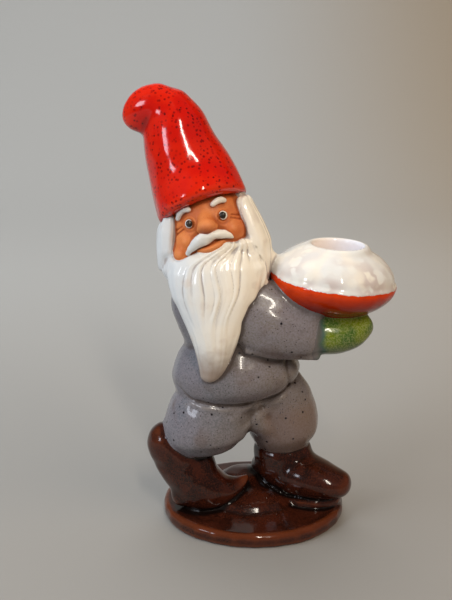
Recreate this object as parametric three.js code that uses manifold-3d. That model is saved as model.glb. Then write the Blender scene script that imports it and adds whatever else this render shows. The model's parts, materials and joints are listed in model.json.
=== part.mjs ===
// Glazed ceramic gnome that carries a bowl of porridge, with a candle recess in the porridge's top.
// Millimetres, +Z up. The origin is the centre of the plinth's underside, +X is the way the gnome
// walks, and -Y is the side that the face turns to. Right and left are the gnome's own.
import * as THREE from 'three';
import { mergeVertices } from 'three/addons/utils/BufferGeometryUtils.js';
import Module from 'manifold-3d';

const wasm = await Module();
wasm.setup();

// ---------------------------------------------------------------- driving dimensions

const GAP = 0.3;                 // clearance between pieces that touch
const FINENESS = 0.5;            // scales the number of facets of every round shape

const PLINTH = { length: 90, width: 77, height: 7, edge: 2.4 };

// The plinth's top swells up between the boots: a hump behind, and a lower, wider hill before it.
const HUMP = { x: -4, y: 6, wide: 18, deep: 15, tall: 12 };
const HILL = { x: -2, y: -5, wide: 22, deep: 16, tall: 6.5 };

const SOLE = { length: 50, width: 28, height: 4, edge: 1.4, turn: -25, x: 20, y: 2 };

const BOWL = { x: 35.8, y: -5, rimZ: 122.5, radius: 29.75, height: 14.5, wall: 3.6, tilt: 6.4 };
const MOUND = { height: 15.2, topRadius: 12.6, bulge: 0.62 };
const SOCKET = { floorRadius: 11, mouthRadius: 11.3, depth: 15, lip: 1.2 };

const HEAD = { x: -21.5, y: -1, z: 147, wide: 18.5, deep: 18.5, tall: 21, roll: -14.5, tip: -16 };
const EYE = { apart: 15.2, height: 0.5, forward: 17.2, radius: 2.1, bulge: 1.1, pupil: 1.55 };

// ---------------------------------------------------------------- frames of the tilted parts

const degrees = THREE.MathUtils.degToRad;

function tiltedFrame(x, y, z, aboutX, aboutY) {
  const group = new THREE.Group();
  group.position.set(x, y, z);
  group.rotation.set(degrees(aboutX), degrees(aboutY), 0, 'YXZ');
  group.updateMatrixWorld();
  return group;
}

const bodyGroup = new THREE.Group();
const headGroup = tiltedFrame(HEAD.x, HEAD.y, HEAD.z, HEAD.tip, HEAD.roll);
const bowlGroup = tiltedFrame(BOWL.x, BOWL.y, BOWL.rimZ, 0, BOWL.tilt);

// ---------------------------------------------------------------- making solids

const facets = (count) => 2 * Math.round((count * FINENESS) / 2);

const ACROSS = new THREE.Vector3(1, 0, 0);
const FRONT_TO_BACK = new THREE.Vector3(0, 1, 0);

function toSolid(geometry, group = bodyGroup) {
  geometry.applyMatrix4(group.matrixWorld);
  geometry.deleteAttribute('normal');
  geometry.deleteAttribute('uv');
  const merged = mergeVertices(geometry, 1e-4);
  return new wasm.Manifold(new wasm.Mesh({
    numProp: 3,
    vertProperties: new Float32Array(merged.attributes.position.array),
    triVerts: new Uint32Array(merged.index.array),
  }));
}

function toGeometry(solid, group) {
  const mesh = solid.getMesh();
  const geometry = new THREE.BufferGeometry();
  geometry.setAttribute('position', new THREE.BufferAttribute(mesh.vertProperties, 3));
  geometry.setIndex(new THREE.BufferAttribute(mesh.triVerts, 1));
  geometry.applyMatrix4(group.matrixWorld.clone().invert());
  geometry.computeVertexNormals();
  return geometry;
}

// An ellipsoid: its middle, then its three half sizes.
function ball([x, y, z], [wide, deep, tall], { grow = 0, group, around = 20, rows = 12 } = {}) {
  const geometry = new THREE.SphereGeometry(1, facets(around), facets(rows));
  geometry.rotateX(Math.PI / 2);
  geometry.scale(wide + grow, deep + grow, tall + grow);
  geometry.translate(x, y, z);
  return toSolid(geometry, group);
}

// A round-ended body along a smooth curve. A station is the middle of a cross-section, its half
// width along the side direction and its half depth: [x, y, z, wide, deep]. Caps are the lengths
// of the two rounded ends.
function limb(stations, { side = ACROSS, caps = [2, 2], grow = 0, group, sides = 20, rows = 12 } = {}) {
  const around = facets(sides);
  const steps = facets(rows);
  const path = new THREE.CatmullRomCurve3(stations.map(([x, y, z]) => new THREE.Vector3(x, y, z)));
  const sizes = new THREE.CatmullRomCurve3(stations.map((s) => new THREE.Vector3(s[3], s[4], 0)));
  const capAngles = [Math.PI / 3, Math.PI / 6];
  const positions = [];

  function pole(t, direction, cap) {
    const middle = path.getPoint(t).addScaledVector(path.getTangent(t), direction * (cap + grow));
    positions.push(middle.x, middle.y, middle.z);
  }

  function ring(t, shift, shrink) {
    const tangent = path.getTangent(t);
    const middle = path.getPoint(t).addScaledVector(tangent, shift);
    const size = sizes.getPoint(t);
    const widthAxis = side.clone().addScaledVector(tangent, -side.dot(tangent)).normalize();
    const depthAxis = tangent.clone().cross(widthAxis);
    for (let i = 0; i < around; i += 1) {
      const turn = (2 * Math.PI * i) / around;
      const point = middle.clone();
      point.addScaledVector(widthAxis, (size.x + grow) * shrink * Math.cos(turn));
      point.addScaledVector(depthAxis, (size.y + grow) * shrink * Math.sin(turn));
      positions.push(point.x, point.y, point.z);
    }
  }

  pole(0, -1, caps[0]);
  for (const angle of capAngles) ring(0, -(caps[0] + grow) * Math.sin(angle), Math.cos(angle));
  for (let i = 0; i <= steps; i += 1) ring(i / steps, 0, 1);
  for (const angle of capAngles.slice().reverse()) ring(1, (caps[1] + grow) * Math.sin(angle), Math.cos(angle));
  pole(1, 1, caps[1]);

  const ringCount = steps + 1 + 2 * capAngles.length;
  const lastPole = 1 + ringCount * around;
  const index = [];
  for (let i = 0; i < around; i += 1) {
    const next = (i + 1) % around;
    index.push(0, 1 + next, 1 + i);
    for (let r = 0; r < ringCount - 1; r += 1) {
      const low = 1 + r * around;
      const high = low + around;
      index.push(low + i, low + next, high + next);
      index.push(low + i, high + next, high + i);
    }
    const top = lastPole - around;
    index.push(lastPole, top + i, top + next);
  }
  const geometry = new THREE.BufferGeometry();
  geometry.setAttribute('position', new THREE.Float32BufferAttribute(positions, 3));
  geometry.setIndex(index);
  return toSolid(geometry, group);
}

// A turned body about +Z: a list of [radius, height] that starts and ends on the axis.
function turned(profile, segments = 40) {
  const points = profile.map(([radius, height]) => new THREE.Vector2(radius, height));
  const geometry = new THREE.LatheGeometry(points, facets(segments));
  geometry.rotateX(Math.PI / 2);
  return geometry;
}

// Points of a quarter arc, with its middle, its two radii and its start and end angles in degrees.
function arc([middleX, middleY], [radiusX, radiusY], from, to, steps) {
  const points = [];
  for (let i = 0; i <= steps; i += 1) {
    const turn = degrees(from + ((to - from) * i) / steps);
    points.push([middleX + radiusX * Math.cos(turn), middleY + radiusY * Math.sin(turn)]);
  }
  return points;
}

// A cut can leave a crumb beside the piece: the piece itself is the largest body.
function largestBody(solid) {
  return solid.decompose().reduce((best, next) => (next.volume() > best.volume() ? next : best));
}

function joined(...solids) {
  return solids.reduce((all, next) => all.add(next));
}

// ---------------------------------------------------------------- plinth, boots and sole

function plinth(grow) {
  const radius = PLINTH.length / 2 + grow;
  const top = PLINTH.height + grow;
  const profile = [
    [0, -grow],
    [radius - 1, -grow],
    [radius, 1],
    ...arc([radius - PLINTH.edge, top - PLINTH.edge], [PLINTH.edge, PLINTH.edge], 0, 90, 4),
    [0, top],
  ];
  const geometry = turned(profile, 56);
  geometry.scale(1, PLINTH.width / PLINTH.length, 1);
  const swellings = [HUMP, HILL].map(({ x, y, wide, deep, tall }) => (
    ball([x, y, PLINTH.height], [wide, deep, tall], { grow, around: 28 })
  ));
  const under = new THREE.BoxGeometry(PLINTH.length, PLINTH.width, PLINTH.length);
  under.translate(0, 0, PLINTH.height / 2 - PLINTH.length / 2);
  return toSolid(geometry).add(joined(...swellings).subtract(toSolid(under)));
}

function leftSole(grow) {
  const radius = SOLE.length / 2 + grow;
  const top = SOLE.height + grow;
  const geometry = turned([
    [0, GAP - grow],
    [radius, GAP - grow],
    ...arc([radius - SOLE.edge, top - SOLE.edge], [SOLE.edge, SOLE.edge], 0, 90, 3),
    [0, top],
  ], 36);
  geometry.scale(1, SOLE.width / SOLE.length, 1);
  geometry.rotateZ(degrees(SOLE.turn));
  geometry.translate(SOLE.x, SOLE.y, PLINTH.height);
  return toSolid(geometry);
}

// The trailing boot stands on its ball, with its heel raised and its slim toe curled up.
function rightBoot(grow) {
  return limb([
    [-40, -8, 40.5, 10.5, 12.8],
    [-33, -8, 29, 12, 14],
    [-27, -9, 19.5, 13, 12.5],
    [-19.5, -9, 16, 11.8, 10.4],
    [-12, -8, 15.5, 8.2, 6.6],
    [-5.5, -7, 19, 3.4, 2.6],
    [-2, -6.5, 22.5, 1.6, 1.4],
  ], { side: FRONT_TO_BACK, caps: [12, 1], grow, sides: 24, rows: 18 });
}

// The leading boot stands flat and points ahead and a little to the front.
function leftBoot(grow) {
  const shaft = limb([
    [12, 6, 46, 13.5, 12.5],
    [14, 5, 34, 14.5, 13],
    [16, 3, 22, 15, 13],
  ], { caps: [2, 6], grow, rows: 6 });
  const foot = limb([
    [6, 9, 18, 9, 8.5],
    [16, 3, 19, 12.5, 11.5],
    [27, -4, 20, 12.8, 11],
    [37, -9.5, 19.5, 11, 8.2],
    [43, -12, 19.5, 8, 6.3],
  ], { side: FRONT_TO_BACK, caps: [7, 4.5], grow, sides: 24, rows: 12 });
  return joined(shaft, foot);
}

// ---------------------------------------------------------------- trousers, coat, arms

function rightTrouserLeg(grow) {
  return limb([
    [-15, -3, 70, 18, 17],
    [-20, -6, 58, 20, 18],
    [-23.4, -8, 48, 20.6, 18],
    [-23.4, -8, 43.8, 19.6, 17.2],
    [-23, -8.5, 39.4, 15.4, 13.8],
  ], { caps: [3, 4], grow, sides: 28, rows: 16 });
}

function leftTrouserLeg(grow) {
  return limb([
    [5, 4, 70, 15, 15],
    [12, 4.5, 58, 16.5, 16.5],
    [14.4, 5, 47, 17.8, 17.2],
    [14.4, 4.8, 40.5, 17, 16.4],
    [14.8, 4.5, 35.4, 13.6, 13.2],
  ], { caps: [3, 3.6], grow, sides: 28, rows: 16 });
}

function coat(grow) {
  return limb([
    [-7.5, -2.8, 67, 27, 22],
    [-8.6, -2.2, 74.5, 31.5, 26.5],
    [-9, -1, 83, 28.2, 24.5],
    [-9, 0, 91, 23.5, 21],
    [-12.5, 0.5, 103, 24.5, 20],
    [-16, 1, 115, 25, 18.5],
    [-19, 1.5, 124, 20, 15],
    [-20.5, 1.5, 130, 12, 10],
  ], { caps: [4, 2], grow, sides: 32, rows: 22 });
}

// Both forearms reach ahead to the bowl. The sign is -1 for the right arm and 1 for the left.
function sleeve(sign) {
  return (grow) => limb([
    [-17, sign * 11, 112, 9, 13],
    [-4, sign * 15.5, 106, 11, 16],
    [8, sign * 17.5, 102, 12, 15],
    [20, sign * 17, 99.8, 11.5, 12.8],
    [26.5, sign * 16.5, 98.9, 10.7, 10.6],
  ], { side: FRONT_TO_BACK, caps: [6, 1.2], grow, sides: 24, rows: 14 });
}

function mitten(sign) {
  return (grow) => limb([
    [26, sign * 16.3, 98.8, 9.5, 9.2],
    [37, sign * 14.5, 98.4, 11, 9.4],
    [45, sign * 12.5, 99.8, 10.5, 8.2],
    [50.5, sign * 11.5, 102.5, 8, 5.5],
  ], { side: FRONT_TO_BACK, caps: [1, 3.2], grow, sides: 20, rows: 10 });
}

// ---------------------------------------------------------------- bowl and porridge

// From the middle of the underside out and up to the rim.
function bowlProfile(radius, height) {
  const side = new THREE.QuadraticBezierCurve(
    new THREE.Vector2(radius * 0.46, -height),
    new THREE.Vector2(radius * 0.94, -height * 0.66),
    new THREE.Vector2(radius, 0),
  );
  return [[0, -height], ...side.getPoints(7).map((point) => point.toArray())];
}

function bowl(grow) {
  const radius = BOWL.radius + grow;
  const inside = BOWL.radius - BOWL.wall - grow;
  const floor = BOWL.height - BOWL.wall - grow;
  const outer = [
    ...bowlProfile(radius, BOWL.height + grow),
    [radius, 0.2 + grow],
    [radius - 1, 1.2 + grow],
  ];
  const inner = [
    [inside + 1, 1.2 + grow],
    [inside, 0.2 + grow],
    ...bowlProfile(inside, floor).reverse(),
  ];
  return toSolid(turned([...outer, ...inner], 44), bowlGroup);
}

// The heap alone, without its recess: it fills the bowl and bulges over the bowl's inner edge.
function heap(grow) {
  const radius = BOWL.radius - 1.4 + grow;
  const top = MOUND.height + grow;
  const rise = new THREE.QuadraticBezierCurve(
    new THREE.Vector2(radius, 1.6),
    new THREE.Vector2(radius - 1.4, MOUND.height * MOUND.bulge),
    new THREE.Vector2(MOUND.topRadius + 0.6, top - 0.3),
  );
  return toSolid(turned([
    ...bowlProfile(BOWL.radius - BOWL.wall - GAP, BOWL.height - BOWL.wall - GAP),
    [BOWL.radius - BOWL.wall - GAP, 1.5],
    ...rise.getPoints(7).map((point) => point.toArray()),
    [MOUND.topRadius - 1.2, top],
    [0, top],
  ], 44), bowlGroup);
}

// The recess for the candle's foot: an upright tapered socket with a flat floor and a rounded lip.
function socketCutter() {
  const top = BOWL.rimZ + MOUND.height;
  const floor = top - SOCKET.depth;
  const outward = SOCKET.mouthRadius + SOCKET.lip;
  const geometry = turned([
    [0, floor],
    [SOCKET.floorRadius, floor],
    [SOCKET.mouthRadius, top - 2 * SOCKET.lip],
    [SOCKET.mouthRadius + SOCKET.lip / 3, top - SOCKET.lip / 2],
    [outward, top + SOCKET.lip / 2],
    [outward, top + 10],
    [0, top + 10],
  ], 40);
  geometry.translate(BOWL.x + MOUND.height * Math.sin(degrees(BOWL.tilt)), BOWL.y, 0);
  return toSolid(geometry);
}

// ---------------------------------------------------------------- head and face, in the head's frame

const inHead = { group: headGroup };

function head(grow) {
  const options = { ...inHead, grow };
  return joined(
    ball([0, 0, 0], [HEAD.wide, HEAD.deep, HEAD.tall], { ...options, around: 32, rows: 20 }),
    ball([-9, -9.5, -7], [7.5, 7.5, 7.5], options),
    ball([9, -9.5, -6], [7.5, 7.5, 7.5], options),
    ball([0, -9.5, -12], [9, 6.5, 6.5], options),
    limb([[0.2, -16.6, 2.8, 2.4, 1.8], [0, -18, 0, 3, 2.4], [-0.1, -19.2, -2.6, 4.2, 3]],
      { ...options, caps: [1.5, 2], around: 14, rows: 5 }),
  );
}

function eyePlace(sign, extra) {
  return [sign * EYE.apart / 2 + 0.4, -EYE.forward - extra, EYE.height];
}

function eye(sign) {
  return (grow) => ball(eyePlace(sign, 0), [EYE.radius, EYE.bulge, EYE.radius], { ...inHead, grow, around: 20 });
}

function pupil(sign) {
  return (grow) => ball(eyePlace(sign, 0.9), [EYE.pupil, 0.9, EYE.pupil], { ...inHead, grow, around: 16 });
}

function lowerLip(grow) {
  return limb([
    [-6.6, -14.9, -11.7, 0.8, 0.7],
    [-3, -16.3, -12.5, 1.6, 1.3],
    [1, -16.6, -12.2, 1.8, 1.4],
    [5.4, -15.6, -10.5, 0.8, 0.7],
  ], { ...inHead, side: FRONT_TO_BACK, caps: [0.6, 0.6], grow, sides: 12, rows: 8 });
}

function moustache(grow) {
  return limb([
    [-12.8, -13.1, -12.4, 1.5, 1.5],
    [-9, -15.9, -10, 2, 2],
    [-5.6, -17.6, -8.1, 2.1, 2.6],
    [-2, -18.6, -7, 2.1, 2.5],
    [2.8, -18.4, -6.6, 2, 2.2],
    [7, -17, -7.8, 1.9, 1.9],
    [9.8, -15.4, -9.2, 1.6, 1.6],
    [11.2, -14.4, -10.4, 1.1, 1.1],
  ], { ...inHead, side: FRONT_TO_BACK, caps: [1.2, 1], grow, sides: 14, rows: 16 });
}

function rightEyebrow(grow) {
  return limb([
    [-11.9, -13.9, 4.2, 0.8, 0.7],
    [-10.4, -15.1, 6.2, 1.2, 1],
    [-8, -16.4, 7.3, 1.2, 1.1],
    [-6.1, -17.2, 6.6, 0.9, 0.8],
  ], { ...inHead, side: FRONT_TO_BACK, caps: [0.7, 0.7], grow, sides: 12, rows: 8 });
}

function leftEyebrow(grow) {
  return limb([
    [4.8, -17.6, 6.2, 0.9, 0.8],
    [6.6, -17, 7.1, 1.2, 1],
    [8.4, -16.2, 7.5, 1.2, 1.1],
    [10, -15, 7, 0.8, 0.7],
  ], { ...inHead, side: FRONT_TO_BACK, caps: [0.7, 0.7], grow, sides: 12, rows: 8 });
}

// ---------------------------------------------------------------- hat, beard and hair

function hat(grow) {
  const crown = limb([
    [-23.6, -2.8, 154, 21.5, 21.4],
    [-28.5, 4, 166, 20.2, 20],
    [-34.2, 6.2, 180, 17.2, 17.2],
    [-37.2, 7.6, 191, 14.6, 14.6],
    [-40, 8.2, 198, 11.4, 11.4],
  ], { caps: [0.8, 8.6], grow, sides: 32, rows: 16 });
  const curl = limb([
    [-39, 8, 195, 11.5, 11.5],
    [-45, 8.4, 199.2, 10.4, 10.4],
    [-51.6, 8.6, 197, 9, 9],
    [-54.8, 8.6, 192.4, 7.2, 7.2],
  ], { side: FRONT_TO_BACK, caps: [3, 4.5], grow, sides: 20, rows: 10 });
  return joined(crown, curl);
}

function beard(grow) {
  return limb([
    [-19.6, -13, 136.6, 16.8, 6.6],
    [-18.4, -16, 130, 21, 8.8],
    [-17.8, -18.5, 121, 20.8, 9.5],
    [-18, -21.5, 109, 15.8, 9],
    [-18.6, -24, 98, 10.4, 7.6],
    [-19.3, -25, 88, 6.9, 5.6],
    [-20, -24.6, 82, 4.6, 4.2],
  ], { caps: [2, 3.4], grow, sides: 28, rows: 18 });
}

function rightHairLock(grow) {
  return limb([
    [-38.6, -2, 153, 5, 9],
    [-40.2, -4.5, 143, 5.2, 10],
    [-41.6, -6.5, 134, 3.8, 8],
    [-42.4, -7.5, 127.5, 2.4, 5],
  ], { caps: [1.5, 1.5], grow, sides: 18, rows: 10 });
}

function leftHairLock(grow) {
  return limb([
    [-6.6, -3, 158, 3.8, 8],
    [-3, -5, 149, 5, 9.5],
    [0.2, -7, 140, 6, 10],
    [1.2, -9, 130, 5.2, 9],
    [0.8, -10.5, 122, 4, 6],
  ], { caps: [1.5, 2], grow, sides: 18, rows: 12 });
}

function backHair(grow) {
  return limb([
    [-23, 6, 158, 18, 14],
    [-22, 6.5, 147, 20, 15.5],
    [-20.5, 6.5, 135, 20.5, 14.5],
    [-19.5, 7.5, 125, 19.5, 12],
  ], { caps: [1, 4], grow, sides: 28, rows: 10 });
}

// ---------------------------------------------------------------- assembly

const glaze = (color, roughness) => new THREE.MeshStandardMaterial({ color, roughness, metalness: 0 });

const brownGlaze = () => glaze(0x4a2114, 0.15);
const greyGlaze = () => glaze(0x8b8387, 0.2);
const greenGlaze = () => glaze(0x5c7a2c, 0.2);
const redGlaze = () => glaze(0xd22d10, 0.12);
const orangeGlaze = () => glaze(0xc24318, 0.25);
const whiteGlaze = () => glaze(0xe6dfd4, 0.15);
const bareClay = () => glaze(0xc46c3a, 0.7);
const blackGlaze = () => glaze(0x1c1614, 0.15);

const rightSleeve = sleeve(-1);
const leftSleeve = sleeve(1);
const rightMitten = mitten(-1);
const leftMitten = mitten(1);
const rightEye = eye(-1);
const leftEye = eye(1);
const porridge = (grow) => heap(grow).subtract(socketCutter());

// Each piece: its name, its shape, its finish, its group, and the neighbours it makes room for.
const pieces = [
  ['plinth', plinth, brownGlaze, bodyGroup, [leftSole]],
  ['left_sole', leftSole, brownGlaze, bodyGroup, []],
  ['right_boot', rightBoot, brownGlaze, bodyGroup, [plinth, rightTrouserLeg]],
  ['left_boot', leftBoot, brownGlaze, bodyGroup, [plinth, leftSole, leftTrouserLeg, rightTrouserLeg, rightBoot]],
  ['right_trouser_leg', rightTrouserLeg, greyGlaze, bodyGroup, [coat]],
  ['left_trouser_leg', leftTrouserLeg, greyGlaze, bodyGroup, [coat, rightTrouserLeg]],
  ['coat', coat, greyGlaze, bodyGroup, [head, bowl, heap]],
  ['right_sleeve', rightSleeve, greyGlaze, bodyGroup, [coat, bowl]],
  ['left_sleeve', leftSleeve, greyGlaze, bodyGroup, [coat, bowl]],
  ['right_mitten', rightMitten, greenGlaze, bodyGroup, [rightSleeve, bowl]],
  ['left_mitten', leftMitten, greenGlaze, bodyGroup, [leftSleeve, bowl, rightMitten]],
  ['bowl', bowl, orangeGlaze, bowlGroup, []],
  ['porridge_mound', porridge, whiteGlaze, bowlGroup, [bowl]],
  ['head', head, bareClay, headGroup, []],
  ['right_eye', rightEye, whiteGlaze, headGroup, [head]],
  ['left_eye', leftEye, whiteGlaze, headGroup, [head]],
  ['right_pupil', pupil(-1), blackGlaze, headGroup, [head, rightEye]],
  ['left_pupil', pupil(1), blackGlaze, headGroup, [head, leftEye]],
  ['moustache', moustache, whiteGlaze, headGroup, [head]],
  ['lower_lip', lowerLip, bareClay, headGroup, [head, moustache]],
  ['right_eyebrow', rightEyebrow, whiteGlaze, headGroup, [head]],
  ['left_eyebrow', leftEyebrow, whiteGlaze, headGroup, [head]],
  ['hat', hat, redGlaze, headGroup, [head, rightEyebrow, leftEyebrow]],
  ['right_hair_lock', rightHairLock, whiteGlaze, headGroup, [head, hat, coat]],
  ['left_hair_lock', leftHairLock, whiteGlaze, headGroup, [head, hat, coat, rightSleeve, bowl, heap]],
  ['back_hair', backHair, whiteGlaze, headGroup, [head, hat, coat, rightHairLock, leftHairLock, leftSleeve, bowl, heap]],
  ['beard', beard, whiteGlaze, headGroup,
    [head, moustache, lowerLip, coat, rightSleeve, rightHairLock, leftHairLock, backHair, bowl, heap]],
];

const gnome = new THREE.Group();
gnome.add(bodyGroup, headGroup, bowlGroup);

for (const [name, shape, finish, group, neighbours] of pieces) {
  const solid = neighbours.reduce((rest, neighbour) => rest.subtract(neighbour(GAP)), shape(0));
  const mesh = new THREE.Mesh(toGeometry(largestBody(solid), group), finish());
  mesh.name = name;
  group.add(mesh);
}

export default gnome;
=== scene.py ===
"""Looks of a glazed ceramic gnome that carries a bowl of porridge with a candle recess.

Every piece starts as its CAD node. The node becomes a block of clay: signed distances on a lattice,
negative inside. The clay is melted a little, as glaze does it, folds, strands and creases are
worked into it, and its surface becomes the visible mesh. Metres, in the CAD frame.
"""

import json
import math

import bpy
import numpy as np
import openvdb
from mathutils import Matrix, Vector


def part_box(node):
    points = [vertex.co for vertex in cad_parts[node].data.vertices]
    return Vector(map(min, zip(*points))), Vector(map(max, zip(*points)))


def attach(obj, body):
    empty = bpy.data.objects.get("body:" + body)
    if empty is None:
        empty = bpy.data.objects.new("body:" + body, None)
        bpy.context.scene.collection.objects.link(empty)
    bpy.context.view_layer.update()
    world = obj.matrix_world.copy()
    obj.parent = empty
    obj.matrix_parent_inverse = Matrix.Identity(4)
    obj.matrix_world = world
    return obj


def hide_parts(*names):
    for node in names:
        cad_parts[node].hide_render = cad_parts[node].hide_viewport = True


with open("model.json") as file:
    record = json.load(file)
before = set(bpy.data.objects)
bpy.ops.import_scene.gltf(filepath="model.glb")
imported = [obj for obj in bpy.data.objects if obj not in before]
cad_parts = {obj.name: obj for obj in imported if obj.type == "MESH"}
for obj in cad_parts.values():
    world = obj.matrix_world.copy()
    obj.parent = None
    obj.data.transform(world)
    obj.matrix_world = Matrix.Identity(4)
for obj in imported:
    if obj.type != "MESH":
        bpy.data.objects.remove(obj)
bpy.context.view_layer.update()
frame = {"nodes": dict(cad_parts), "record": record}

MM = 0.001

# ------------------------------------------------------------------ clay: fields on a lattice


class Clay:
    """A lattice over a box, and the fields sampled on it."""

    def __init__(self, low, high, spacing, margin=4 * MM):
        self.spacing = spacing
        self.band = margin
        self.first = np.floor((np.array(low) - margin) / spacing).astype(int)
        last = np.ceil((np.array(high) + margin) / spacing).astype(int)
        self.size = last - self.first + 1
        axes = [(self.first[i] + np.arange(self.size[i])) * spacing for i in range(3)]
        self.x = axes[0].astype(np.float32)[:, None, None]
        self.y = axes[1].astype(np.float32)[None, :, None]
        self.z = axes[2].astype(np.float32)[None, None, :]

    def node(self, name):
        """Signed distance to a CAD node, cut off at the band's width."""
        mesh = frame["nodes"][name].data
        points = np.empty(len(mesh.vertices) * 3, np.float32)
        mesh.vertices.foreach_get("co", points)
        mesh.calc_loop_triangles()
        triangles = np.empty(len(mesh.loop_triangles) * 3, np.int32)
        mesh.loop_triangles.foreach_get("vertices", triangles)
        grid = openvdb.FloatGrid.createLevelSetFromPolygons(
            points.reshape(-1, 3),
            triangles=triangles.reshape(-1, 3).astype(np.uint32),
            transform=openvdb.createLinearTransform(voxelSize=self.spacing),
            halfWidth=self.band / self.spacing,
        )
        values = np.empty(tuple(self.size), np.float32)
        grid.copyToArray(values, ijk=tuple(int(i) for i in self.first))
        return values

    def surface(self, field):
        """Points and quads of the field's zero surface."""
        grid = openvdb.FloatGrid(float(self.band))
        grid.copyFromArray(field.astype(np.float32), ijk=tuple(int(i) for i in self.first))
        grid.transform = openvdb.createLinearTransform(voxelSize=self.spacing)
        return grid.convertToQuads(isovalue=0.0)

    def sample(self, field, points):
        """The field's value at each point, by linear interpolation."""
        place = points / self.spacing - self.first
        place = np.clip(place, 0, self.size - 1.001)
        low = np.floor(place).astype(int)
        part = place - low
        total = np.zeros(len(points), np.float32)
        for corner in np.ndindex(2, 2, 2):
            weight = np.prod(np.where(corner, part, 1 - part), axis=1)
            at = low + corner
            total += weight * field[at[:, 0], at[:, 1], at[:, 2]]
        return total

    def noise(self, cell, seed):
        """Smooth noise from -1 to 1 with lumps about a cell wide, the same for every lattice."""
        field = np.random.RandomState(seed).uniform(-1, 1, (16, 16, 16)).astype(np.float32)
        for axis, coordinate in enumerate((self.x, self.y, self.z)):
            place = coordinate.ravel() / cell
            low = np.floor(place).astype(int)
            part = smooth_step(place - low)
            part = part.reshape([-1 if i == axis else 1 for i in range(3)])
            before = np.take(field, low % 16, axis)
            after = np.take(field, (low + 1) % 16, axis)
            field = before * (1 - part) + after * part
        return field


def smooth_step(share):
    """0 below 0, 1 above 1, and an S-shaped rise between them."""
    share = np.clip(share, 0, 1)
    return share * share * (3 - 2 * share)


def bell(gap, width):
    """1 where the gap is 0, fading to 0 over about the width."""
    return np.exp(-((gap / width) ** 2))


def blurred(field, radius, spacing):
    """A Gaussian blur along the three axes."""
    reach = max(1, int(round(2.5 * radius / spacing)))
    steps = np.arange(-reach, reach + 1)
    weights = np.exp(-0.5 * (steps * spacing / radius) ** 2)
    weights /= weights.sum()
    for axis in range(3):
        padding = [(reach, reach) if a == axis else (0, 0) for a in range(3)]
        padded = np.pad(field, padding, mode="edge")
        total = np.zeros_like(field)
        for i, weight in enumerate(weights):
            window = [slice(None)] * 3
            window[axis] = slice(i, i + field.shape[axis])
            total += np.float32(weight) * padded[tuple(window)]
        field = total
    return field


def melt_together(a, b, fillet):
    """The union of two fields with a fillet of that size where they meet."""
    blend = np.clip(0.5 + 0.5 * (b - a) / fillet, 0, 1)
    return b + (a - b) * blend - fillet * blend * (1 - blend)


def noise_2d(u, v, seed):
    """Smooth noise from 0 to 1 over two coordinates, one cell per unit."""
    table = np.random.RandomState(seed).rand(64, 64).astype(np.float32)
    u0 = np.floor(u).astype(int)
    v0 = np.floor(v).astype(int)
    fu = smooth_step(u - u0)
    fv = smooth_step(v - v0)
    a = table[u0 % 64, v0 % 64]
    b = table[(u0 + 1) % 64, v0 % 64]
    c = table[u0 % 64, (v0 + 1) % 64]
    d = table[(u0 + 1) % 64, (v0 + 1) % 64]
    return (a + (b - a) * fu) * (1 - fv) + (c + (d - c) * fu) * fv


# ------------------------------------------------------------------ places, strokes and shapes


def spot(node, across, up):
    """A place seen from the front, as fractions of a node's width and height."""
    low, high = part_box(node)
    return (low.x + across * (high.x - low.x), low.z + up * (high.z - low.z))


def gap_to_line(across, up, points):
    """Distance in a plane to a line of points."""
    best = None
    for (a0, u0), (a1, u1) in zip(points, points[1:]):
        da = a1 - a0
        du = u1 - u0
        along = np.clip(((across - a0) * da + (up - u0) * du) / (da * da + du * du), 0, 1)
        gap = np.hypot(across - a0 - along * da, up - u0 - along * du)
        best = gap if best is None else np.minimum(best, gap)
    return best


def stroke(clay, points, width):
    """1 on a line of spots seen from the front, fading to 0 over about the width."""
    return bell(gap_to_line(clay.x, clay.z, points), width)


def front_of(clay, y, softness):
    """1 before the plane at y, 0 behind it."""
    return smooth_step((y - clay.y) / softness + 0.5)


def rod(clay, start, end, thickness):
    """Signed distance to a rod with round ends; its thickness goes from one radius to another."""
    start = np.array(start)
    span = np.array(end) - start
    px = clay.x - start[0]
    py = clay.y - start[1]
    pz = clay.z - start[2]
    along = np.clip((px * span[0] + py * span[1] + pz * span[2]) / span.dot(span), 0, 1)
    dx = px - along * span[0]
    dy = py - along * span[1]
    dz = pz - along * span[2]
    gap = np.sqrt(dx ** 2 + dy ** 2 + dz ** 2)
    return gap - thickness[0] - along * (thickness[1] - thickness[0])


def ball_field(clay, middle, radii):
    """Signed distance, near enough, to an ellipsoid."""
    a = (clay.x - middle[0]) / radii[0]
    b = (clay.y - middle[1]) / radii[1]
    c = (clay.z - middle[2]) / radii[2]
    return (np.sqrt(a * a + b * b + c * c) - 1) * min(radii)


def inside_box(node, across, deep, up):
    """A point as fractions of a node's box."""
    low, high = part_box(node)
    share = (across, deep, up)
    return [low[i] + share[i] * (high[i] - low[i]) for i in range(3)]


# ------------------------------------------------------------------ the head's own directions


def middle_of(node):
    """The middle of a node's box."""
    low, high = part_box(node)
    return (low + high) / 2


# How far the face is turned up. All other numbers about the face are in the head's own millimetres.
HEAD_TIP = math.radians(16)
HEAD_MIDDLE = (0, -17.2, -0.5)
EYE_ACROSS = 7.6
EYES_FRONT = -9
FACE_FRONT = -11
CROWS_FEET = ([(11.3, -0.3), (14.2, -1.0)], [(10.8, -1.6), (14.4, -3.0)])
MOUTH_LINE = [(-7.4, -11.4), (-3, -11.0), (1, -10.6), (6, -8.9)]

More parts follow.
